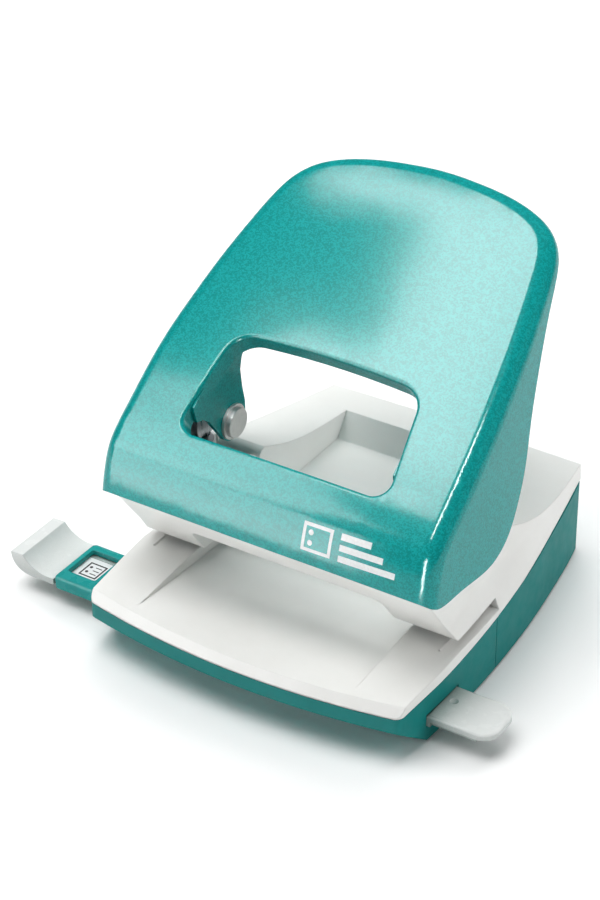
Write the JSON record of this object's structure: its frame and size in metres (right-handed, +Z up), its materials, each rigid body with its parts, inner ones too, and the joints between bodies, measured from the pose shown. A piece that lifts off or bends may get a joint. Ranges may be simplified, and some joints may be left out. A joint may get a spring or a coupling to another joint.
{
  "type": "hole punch",
  "caption": "Desk hole punch for paper: stamped lever with a window, sprung punch pins, paper table with sliding edge guide, and a pull-out chip tray.",
  "frame": {"origin": "on the resting plane, midway between the axes of the two punch pins", "axes": "+X to the right along the row of punched holes, +Y away from the user towards the chip tray, +Z up along the punch pins"},
  "size_m": [0.159, 0.123, 0.1185],
  "materials": {
    "lever_paint": "metallic, gloss",
    "teal_plastic": "fine moulded grain",
    "white_plastic": "satin moulded",
    "frame_plastic": "satin gloss",
    "guide_plastic": "translucent grey",
    "label_film": "printed film",
    "foot_rubber": "matt",
    "zinc_steel": "zinc plated",
    "tool_steel": "ground",
    "spring_steel": "bright wire",
    "rivet_steel": "satin",
    "screw_steel": "zinc plated"
  },
  "bodies": {
    "base": {"base_shell": "teal_plastic", "feet": "foot_rubber", "paper_table": "white_plastic", "top_housing": "white_plastic", "bracket_left": "zinc_steel", "bracket_right": "zinc_steel", "die_left": "tool_steel", "die_right": "tool_steel", "punch_spring_left": "spring_steel", "punch_spring_right": "spring_steel", "guide_frame": "frame_plastic", "housing_screws": "screw_steel", "bracket_screws": "screw_steel"},
    "lever": {"handle": "lever_paint", "pivot_stud_left": "rivet_steel", "pivot_stud_right": "rivet_steel", "drive_rivet_left": "rivet_steel", "drive_rivet_right": "rivet_steel", "rivet_washer_left": "rivet_steel", "rivet_washer_right": "rivet_steel"},
    "pin_left": {"punch_pin_left": "tool_steel", "spring_collar_left": "zinc_steel"},
    "pin_right": {"punch_pin_right": "tool_steel", "spring_collar_right": "zinc_steel"},
    "guide": {"paper_guide": "guide_plastic", "format_label": "label_film"},
    "tray": {"chip_tray": "teal_plastic"}
  },
  "joints": [
    {"name": "lever_pivot", "type": "hinge", "parent": "base", "child": "lever", "pos_m": [0, -0.016, 0.052], "axis": [-1, 0, 0], "range_deg": [0, 28], "stiffness_Nm_per_rad": 0.9, "springref_deg": -21.77},
    {"name": "pin_slide_left", "type": "slide", "parent": "base", "child": "pin_left", "axis": [0, 0, -1], "range_m": [0, 0.0103], "deforming": ["punch_spring_left"]},
    {"name": "pin_slide_right", "type": "slide", "parent": "base", "child": "pin_right", "axis": [0, 0, -1], "range_m": [0, 0.0103], "deforming": ["punch_spring_right"]},
    {"name": "guide_slide", "type": "slide", "parent": "base", "child": "guide", "axis": [-1, 0, 0], "range_m": [0, 0.09]},
    {"name": "tray_slide", "type": "slide", "parent": "base", "child": "tray", "axis": [0, 1, 0], "range_m": [0, 0.07]}
  ],
  "couplings": [
    {"joint": "pin_slide_left", "follows": "lever_pivot", "m_per_rad": 0.02107},
    {"joint": "pin_slide_right", "follows": "lever_pivot", "m_per_rad": 0.02107}
  ]
}
